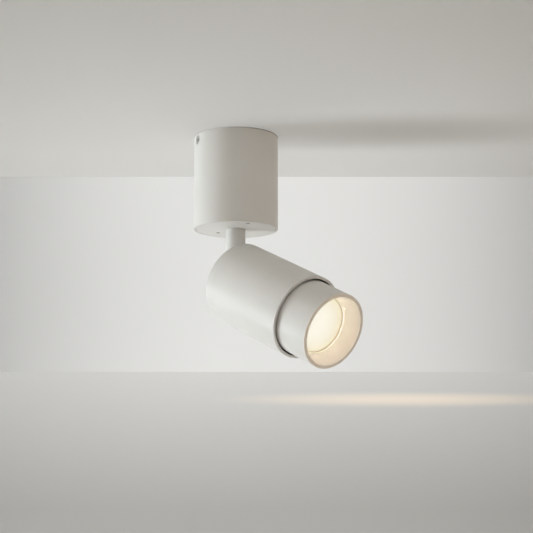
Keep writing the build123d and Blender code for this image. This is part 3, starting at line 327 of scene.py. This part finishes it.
finishes = {
    # white_powder_coat: ahead and between paint a warm light on the barrel's lip face
    # white_powder_coat: inside is painted shade on the head tube's inner wall by the gap
    "white_powder_coat": {"pale": (0.80, 0.795, 0.775), "deep": (0.755, 0.748, 0.727), "grain": 1500.0,
                          "rough": (0.5, 0.58), "bump": 0.22, "ahead": (0.91, 0.835, 0.735),
                          "between": (-0.0008, -0.0007), "inside": (0.05, 0.045, 0.038)},
    # baffle_white: ahead and between give painted shade, darker towards the cone's outer end
    "baffle_white": {"pale": (0.90, 0.85, 0.74), "deep": (0.87, 0.81, 0.69), "grain": 900.0,
                     "rough": (0.38, 0.46), "bump": 0.08, "ahead": (0.82, 0.74, 0.645),
                     "between": (-0.0155, 0.0), "specular": 0.15},
    "zinc_steel": {"pale": (0.66, 0.66, 0.64), "deep": (0.52, 0.52, 0.50), "grain": 500.0, "patch": 160.0,
                   "rough": (0.28, 0.42), "bump": 0.1, "metal": 1.0},
    "dark_screw_steel": {"pale": (0.15, 0.143, 0.135), "deep": (0.09, 0.085, 0.08), "grain": 1800.0,
                         "rough": (0.38, 0.55), "bump": 0.15, "metal": 0.9},
    "brass_terminal": {"pale": (0.80, 0.64, 0.33), "deep": (0.66, 0.50, 0.24), "grain": 900.0,
                       "rough": (0.28, 0.4), "bump": 0.08, "metal": 1.0},
    "black_rubber": {"pale": (0.055, 0.055, 0.055), "deep": (0.03, 0.03, 0.03), "grain": 1200.0,
                     "rough": (0.7, 0.85), "bump": 0.2},
    # grey_silicone: its pale warm tone is painted light from the lens on the seal
    "grey_silicone": {"pale": (0.86, 0.76, 0.59), "deep": (0.80, 0.70, 0.54), "grain": 900.0,
                      "rough": (0.6, 0.7), "bump": 0.1},
    "black_acetal": {"pale": (0.07, 0.064, 0.058), "deep": (0.045, 0.04, 0.037), "grain": 700.0,
                     "rough": (0.4, 0.52), "bump": 0.08},
    "white_nylon": {"pale": (0.85, 0.84, 0.81), "deep": (0.79, 0.775, 0.74), "grain": 600.0,
                    "rough": (0.42, 0.52), "bump": 0.08},
    "green_laminate": {"pale": (0.09, 0.32, 0.14), "deep": (0.045, 0.20, 0.085), "grain": 700.0,
                       "rough": (0.3, 0.4), "bump": 0.1, "coat": 0.3},
    "ferrite": {"pale": (0.19, 0.18, 0.17), "deep": (0.11, 0.105, 0.10), "grain": 1100.0,
                "rough": (0.6, 0.75), "bump": 0.25},
    "capacitor_sleeve": {"pale": (0.09, 0.10, 0.16), "deep": (0.06, 0.065, 0.11), "grain": 400.0,
                         "rough": (0.2, 0.3), "bump": 0.05, "coat": 0.4},
    "plain_aluminium": {"pale": (0.75, 0.76, 0.77), "deep": (0.64, 0.65, 0.66), "grain": 1000.0,
                        "rough": (0.32, 0.44), "bump": 0.12, "metal": 1.0},
    "bright_reflector": {"pale": (0.90, 0.90, 0.90), "deep": (0.84, 0.84, 0.84), "grain": 300.0,
                         "rough": (0.08, 0.14), "bump": 0.04, "metal": 1.0},
    "board_ceramic": {"pale": (0.89, 0.89, 0.87), "deep": (0.83, 0.83, 0.81), "grain": 900.0,
                      "rough": (0.35, 0.45), "bump": 0.05},
    "phosphor": {"pale": (0.95, 0.83, 0.34), "deep": (0.88, 0.72, 0.22), "grain": 1600.0,
                 "rough": (0.3, 0.4), "bump": 0.1, "glow": (1.0, 0.9, 0.6), "power": 1.5},
    "opal_diffuser": {"pale": (0.62, 0.59, 0.50), "deep": (0.58, 0.55, 0.46), "grain": 800.0,
                      "rough": (0.35, 0.45), "bump": 0.05, "glow": (0.924, 0.929, 0.845),
                      "dim": (0.80, 0.73, 0.53), "power": 0.72},
}
materials = {name: grainMaterial({"name": name, **values}) for name, values in finishes.items()}

for nodeName, node in nodes.items():
    for materialSlot in node.material_slots:
        materialSlot.material = materials[slotOf[nodeName]]
print("materials made for", len(nodes), "nodes")

# how a modelled piece's mesh is finished
meshFinish = {"doubles": 0.000001, "smoothAngle": 35, "bevelSegments": 2}


def onlySelect(piece):
    bpy.ops.object.select_all(action="DESELECT")
    piece.select_set(True)
    bpy.context.view_layer.objects.active = piece


def bake(piece, name, body, slotName):
    # the piece's place goes into its mesh, then it rides and takes its finish
    onlySelect(piece)
    bpy.ops.object.transform_apply(location=True, rotation=True, scale=True)
    bpy.ops.object.mode_set(mode="EDIT")
    bpy.ops.mesh.select_all(action="SELECT")
    bpy.ops.mesh.remove_doubles(threshold=meshFinish["doubles"])
    bpy.ops.mesh.normals_make_consistent(inside=False)
    bpy.ops.object.mode_set(mode="OBJECT")
    bpy.ops.object.shade_smooth_by_angle(angle=radians(meshFinish["smoothAngle"]))
    piece.name = name
    piece.data.materials.clear()
    piece.data.materials.append(materials[slotName])
    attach(piece, body)
    return piece


def bevelEdges(piece, width):
    onlySelect(piece)
    bevel = piece.modifiers.new("edge", "BEVEL")
    bevel.width = width
    bevel.segments = meshFinish["bevelSegments"]
    bevel.limit_method = "ANGLE"
    bpy.ops.object.modifier_apply(modifier=bevel.name)


def cutWith(piece, cutter):
    onlySelect(piece)
    cut = piece.modifiers.new("cut", "BOOLEAN")
    cut.operation = "DIFFERENCE"
    cut.solver = "EXACT"
    cut.object = cutter
    bpy.ops.object.modifier_apply(modifier=cut.name)
    bpy.data.objects.remove(cutter)


# the two bottom screws: bevelled heads with a crossed recess, on their shanks, which end short of the solids' tips
capScrew = {"headRadius": 0.002, "headHeight": 0.0012, "shankRadius": 0.001, "slotWidth": 0.0006,
            "slotLength": 0.0026, "slotDepth": 0.0007, "slotTurn": 20, "edge": 0.0003, "tip": 0.0015,
            "lowerEnd": 0.0001, "apart": 0.008}


def middlesOf(node, s):
    # the middle, seen from below, of each separate solid in a node
    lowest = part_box(node)[0][2] + s["lowerEnd"]
    lower = [v.co for v in nodes[node].data.vertices if v.co.z < lowest]
    groups = []
    for place in sorted({(round(co.x, 3), round(co.y, 3)) for co in lower}):
        near = [g for g in groups if (Vector(place) - Vector(g[0])).length < s["apart"]]
        if near:
            near[0].append(place)
        else:
            groups.append([place])
    return [tuple((min(q[i] for q in g) + max(q[i] for q in g)) / 2 for i in (0, 1)) for g in groups]


def addCapScrews(s):
    low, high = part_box("cap_screws")
    made = []
    for count, (x, y) in enumerate(middlesOf("cap_screws", s)):
        bpy.ops.object.select_all(action="DESELECT")
        bpy.ops.mesh.primitive_cylinder_add(vertices=40, radius=s["headRadius"], depth=s["headHeight"],
                                            location=(x, y, low[2] + s["headHeight"] / 2))
        head = bpy.context.object
        onlySelect(head)
        bpy.ops.object.transform_apply(location=True)
        bevelEdges(head, s["edge"])
        for turn in (0, 90):
            bpy.ops.object.select_all(action="DESELECT")
            bpy.ops.mesh.primitive_cube_add(size=1, location=(x, y, low[2]))
            cutter = bpy.context.object
            cutter.scale = (s["slotLength"], s["slotWidth"], 2 * s["slotDepth"])
            cutter.rotation_euler = (0, 0, radians(turn + s["slotTurn"]))
            cutWith(head, cutter)
        bpy.ops.object.select_all(action="DESELECT")
        shankLength = high[2] - low[2] - s["headHeight"] - s["tip"]
        bpy.ops.mesh.primitive_cylinder_add(vertices=24, radius=s["shankRadius"], depth=shankLength,
                                            location=(x, y, low[2] + s["headHeight"] + shankLength / 2))
        shank = bpy.context.object
        shank.select_set(True)
        head.select_set(True)
        bpy.context.view_layer.objects.active = head
        bpy.ops.object.join()
        made.append(bake(head, "capScrew" + "AB"[count], "canopy", "dark_screw_steel"))
    for piece in made:
        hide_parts("cap_screws")


addCapScrews(capScrew)
print("screws modelled")

# the fine dark line round the bottom disc: a thin dark ring put in the groove between disc and shell as painted
# shade
grooveShade = {"outside": 0.00015, "width": 0.00029, "height": 0.0008, "inset": 0.00016}


def addGrooveShade(s):
    low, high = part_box("bottom_cap")
    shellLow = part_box("canopy_shell")[0]
    radius = (high[0] - low[0]) / 2 + s["outside"]
    place = middleOf("bottom_cap")
    place.z = shellLow[2] + s["inset"] + s["height"] / 2
    bpy.ops.object.select_all(action="DESELECT")
    bpy.ops.mesh.primitive_torus_add(major_segments=144, minor_segments=8, major_radius=radius,
                                     minor_radius=s["width"] / 2, location=place)
    ring = bpy.context.object
    ring.scale.z = s["height"] / s["width"]
    bake(ring, "grooveShade", "canopy", "black_rubber")


addGrooveShade(grooveShade)

# a fine rounded bead where the cone ends, just outside the seal line; it takes the lens's glowing finish as a
# painted highlight
throatBeadHighlight = {"radius": 0.02568, "halfThickness": 0.00048, "aheadOfSeal": 0.0016}


def addThroatBeadHighlight(s):
    place = middleOf("lens_seal") + headAxis * s["aheadOfSeal"]
    bpy.ops.object.select_all(action="DESELECT")
    bpy.ops.mesh.primitive_torus_add(major_segments=144, minor_segments=10, major_radius=s["radius"],
                                     minor_radius=s["halfThickness"], location=place, rotation=headTurn)
    # the bead glows with the lens's finish: a painted highlight, not a lamp
    bake(bpy.context.object, "throatBeadHighlight", "barrel", "opal_diffuser")


addThroatBeadHighlight(throatBeadHighlight)

# rows of light-emitting dots under the yellow cover
lampDots = {"rows": 7, "spacing": 0.0016, "dotRadius": 0.0005, "coverRadius": 0.0062, "aheadOfMiddle": 0.00025}


def addLampDots(s):
    face = middleOf("led_emitter") + headAxis * s["aheadOfMiddle"]
    side = Vector((1, 0, 0))
    up = headAxis.cross(side)
    half = (s["rows"] - 1) / 2
    dots = []
    for row in range(s["rows"]):
        for column in range(s["rows"]):
            across, along = (row - half) * s["spacing"], (column - half) * s["spacing"]
            if (across ** 2 + along ** 2) ** 0.5 > s["coverRadius"]:
                continue
            bpy.ops.object.select_all(action="DESELECT")
            bpy.ops.mesh.primitive_uv_sphere_add(segments=12, ring_count=6, radius=s["dotRadius"],
                                                 location=face + side * across + up * along)
            dots.append(bpy.context.object)
    bpy.ops.object.select_all(action="DESELECT")
    for dot in dots:
        dot.select_set(True)
    bpy.context.view_layer.objects.active = dots[0]
    bpy.ops.object.join()
    bake(dots[0], "lampDots", "head", "phosphor")


addLampDots(lampDots)
print("lamp details modelled")

# ceiling, wall and a floor that rises to the wall; all are see-through from behind
stageSetup = {"half": 3.0, "wallAhead": 1.2955, "wallFoot": -0.2117, "floorSlope": 35.0, "floorFlat": -0.40,
              "roughness": 0.9, "specular": 0.1, "leastLight": 0.6, "unevenness": 0.015, "patchSize": 3.0}
# bounce lights the lamp and shade is how strongly shadows show; near and far are the tones at the two ends of fade,
# by the level distance from the camera's place, and droop darkens both sides; fade and droop are painted fall-off
# of light
sheetLooks = {
    "ceiling": {"bounce": (0.92, 0.905, 0.87), "shade": 0.40, "droop": 5.0, "fade": (0.8, 1.2),
                "near": (0.20, 0.20, 0.19), "far": (0.36, 0.36, 0.35)},
    "wall": {"bounce": (0.93, 0.935, 0.92), "shade": 0.20, "droop": 5.0, "fade": (1.0, 2.0),
             "near": (0.68, 0.68, 0.67), "far": (0.68, 0.68, 0.67)},
    "floor": {"bounce": (0.93, 0.92, 0.90), "shade": 0.25, "droop": 3.0, "fade": (1.1, 1.3),
              "near": (0.30, 0.30, 0.29), "far": (0.55, 0.55, 0.54)}}
# a streak of light on the floor and the canopy's soft shadow on the ceiling, both painted on
floorStreak = {"across": 0.14, "along": 1.25, "halfWidth": 0.22, "halfDepth": 0.015,
               "colour": (0.25, 0.17, 0.08), "blend": "ADD"}
ceilingShadow = {"across": 0.10, "along": 1.12, "halfWidth": 0.20, "halfDepth": 0.08,
                 "colour": (0.13, 0.13, 0.13), "blend": "SUBTRACT"}
# painted shade: the ceiling that shows in the thin gap over the canopy is painted dark, most of all on the right
contactShade = {"radius": 0.0402, "left": (0.46, 0.455, 0.44), "right": (0.13, 0.12, 0.105), "reach": 0.018}


def addOval(tree, tone, across, along, s):
    # full in the middle of the oval, falling softly to nothing at its edge
    sideways = mathNode(tree, "DIVIDE", mathNode(tree, "SUBTRACT", across, s["across"]), s["halfWidth"])
    lengthways = mathNode(tree, "DIVIDE", mathNode(tree, "SUBTRACT", along, s["along"]), s["halfDepth"])
    sidewaysSquare = mathNode(tree, "MULTIPLY", sideways, sideways)
    square = mathNode(tree, "MULTIPLY_ADD", lengthways, lengthways, sidewaysSquare)
    inside = mathNode(tree, "MAXIMUM", mathNode(tree, "SUBTRACT", 1.0, square), 0.0)
    extra = tree.nodes.new("ShaderNodeMix")
    extra.data_type = "RGBA"
    extra.blend_type = s["blend"]
    tree.links.new(mathNode(tree, "MULTIPLY", inside, inside), extra.inputs[0])
    tree.links.new(tone, extra.inputs[6])
    extra.inputs[7].default_value = (*s["colour"], 1)
    return extra.outputs[2]


def addContact(tree, shader, tone, coords, s):
    beside = spread(tree, distanceAlong(tree, coords, right, Vector()), 0.0, 1.0, -s["reach"], s["reach"])
    contact = mixColours(tree, beside, (*s["left"], 1), (*s["right"], 1))
    # painted shade over the canopy, also in the colour that bounces light
    under = mathNode(tree, "LESS_THAN", distanceFrom(tree, coords, Vector()), s["radius"])
    base = shader.inputs["Base Color"].links[0].from_socket
    tree.links.new(mixColours(tree, under, base, (*s["right"], 1)), shader.inputs["Base Color"])
    return mixColours(tree, under, tone, contact)


def stageMaterial(name, s, oval=None, contact=None):
    material, tree, shader = newMaterial(name)
    links = tree.links
    coords = tree.nodes.new("ShaderNodeTexCoord").outputs["Object"]
    path = tree.nodes.new("ShaderNodeLightPath").outputs
    seen = mathNode(tree, "MAXIMUM", path["Is Camera Ray"],
                    mathNode(tree, "MAXIMUM", path["Is Glossy Ray"], path["Is Transmission Ray"]))
    shade = tuple(channel * s["shade"] for channel in s["bounce"])
    links.new(mixColours(tree, seen, (*s["bounce"], 1), (*shade, 1)), shader.inputs["Base Color"])
    across = distanceAlong(tree, coords, right, eye)
    along = distanceAlong(tree, coords, ahead, eye)
    tone = mixColours(tree, spread(tree, along, 0.0, 1.0, *s["fade"]), (*s["near"], 1), (*s["far"], 1))
    light = mathNode(tree, "MULTIPLY_ADD", mathNode(tree, "MULTIPLY", across, across), -s["droop"], 1.0)
    light = mathNode(tree, "MAXIMUM", light, stageSetup["leastLight"])
    noise = addNode(tree, "ShaderNodeTexNoise", Scale=stageSetup["patchSize"], Detail=2.0)
    links.new(coords, noise.inputs["Vector"])
    uneven = spread(tree, noise.outputs[0], 1.0 - stageSetup["unevenness"], 1.0 + stageSetup["unevenness"])
    tone = mixColours(tree, mathNode(tree, "MULTIPLY", light, uneven), (0, 0, 0, 1), tone)
    if oval:
        tone = addOval(tree, tone, across, along, oval)
    if contact:
        tone = addContact(tree, shader, tone, coords, contact)
    links.new(tone, shader.inputs["Emission Color"])
    links.new(seen, shader.inputs["Emission Strength"])
    shader.inputs["Roughness"].default_value = stageSetup["roughness"]
    shader.inputs["Specular IOR Level"].default_value = stageSetup["specular"]
    clear = tree.nodes.new("ShaderNodeBsdfTransparent")
    facing = tree.nodes.new("ShaderNodeNewGeometry")
    hidden = mathNode(tree, "MAXIMUM", facing.outputs["Backfacing"], path["Is Shadow Ray"])
    mix = tree.nodes.new("ShaderNodeMixShader")
    links.new(hidden, mix.inputs[0])
    links.new(shader.outputs[0], mix.inputs[1])
    links.new(clear.outputs[0], mix.inputs[2])
    links.new(mix.outputs[0], tree.nodes["Material Output"].inputs["Surface"])
    return material


def addSheet(name, corners, material):
    mesh = bpy.data.meshes.new(name)
    mesh.from_pydata(corners, [], [range(len(corners))])
    sheet = bpy.data.objects.new(name, mesh)
    bpy.context.collection.objects.link(sheet)
    mesh.materials.append(material)


def addStage(s):
    wallMiddle = eye + ahead * s["wallAhead"]
    side = right * s["half"]
    slopeRun = (s["wallFoot"] - s["floorFlat"]) / tan(radians(s["floorSlope"]))
    foot = wallMiddle + Vector((0, 0, s["wallFoot"]))
    bend = wallMiddle - ahead * slopeRun + Vector((0, 0, s["floorFlat"]))
    near = bend - ahead * s["half"]
    front = wallMiddle - ahead * s["half"]
    floorMaterial = stageMaterial("floor", sheetLooks["floor"], floorStreak)
    addSheet("ceiling", [wallMiddle - side, wallMiddle + side, front + side, front - side],
             stageMaterial("ceiling", sheetLooks["ceiling"], ceilingShadow, contactShade))
    addSheet("wall", [wallMiddle - side, foot - side, foot + side, wallMiddle + side],
             stageMaterial("wall", sheetLooks["wall"]))
    addSheet("floorRise", [bend - side, bend + side, foot + side, foot - side], floorMaterial)
    addSheet("floor", [near - side, near + side, bend + side, bend - side], floorMaterial)


addStage(stageSetup)
print("stage set")

# a window lamp at the left, one from below behind, faint warm ones in front and at the right
lightSetup = {"world": (0.97, 0.98, 1.0), "worldLight": 0.1, "worldSeen": 0.72, "aim": (0, -0.03, -0.12),
              "lamps": [{"name": "windowLamp", "place": (-0.748, 0.95, -0.40), "size": 0.3, "power": 8.3,
                         "colour": (0.9, 0.966, 1.0)},
                        {"name": "lowLamp", "place": (0.422, 0.397, -1.2), "size": 1.0, "power": 3.62,
                         "colour": (0.987, 1.0, 0.988)},
                        {"name": "frontLamp", "place": (-0.844, -0.853, -0.40), "size": 0.8, "power": 1.1,
                         "colour": (1.0, 0.812, 0.679)},
                        {"name": "rightLamp", "place": (0.817, -0.738, -0.40), "size": 0.6, "power": 0.97,
                         "colour": (1.0, 0.825, 0.662)}]}
# the light that leaves the lens, which fills the cone in front of it
lensLight = {"width": 0.0504, "aheadOfSeal": 0.0008, "power": 0.0126, "colour": (1.0, 0.915, 0.815)}


def addLamp(s, toward):
    data = bpy.data.lights.new(s["name"], "AREA")
    data.energy = s["power"]
    data.size = s["size"]
    data.color = s["colour"]
    # the sheets hide some lamps from bounced rays, so only their direct light is counted
    data.cycles.use_multiple_importance_sampling = False
    light = bpy.data.objects.new(s["name"], data)
    light.location = s["place"]
    light.rotation_euler = toward.to_track_quat("-Z", "Y").to_euler()
    bpy.context.collection.objects.link(light)
    return light


def addLights(s):
    world = bpy.data.worlds.new("world")
    world.use_nodes = True
    tree = world.node_tree
    background = tree.nodes["Background"]
    background.inputs["Color"].default_value = (*s["world"], 1)
    seen = tree.nodes.new("ShaderNodeLightPath").outputs["Is Camera Ray"]
    strength = spread(tree, seen, s["worldLight"], s["worldSeen"], 0.0, 1.0)
    tree.links.new(strength, background.inputs["Strength"])
    bpy.context.scene.world = world
    for lamp in s["lamps"]:
        addLamp(lamp, Vector(s["aim"]) - Vector(lamp["place"]))


def addLensLight(s):
    place = middleOf("lens_seal") + headAxis * s["aheadOfSeal"]
    light = addLamp({"name": "lensLight", "place": place, "size": s["width"], **s}, headAxis)
    light.data.shape = "DISK"
    light.visible_camera = False


addLights(lightSetup)
addLensLight(lensLight)
print("lights set")
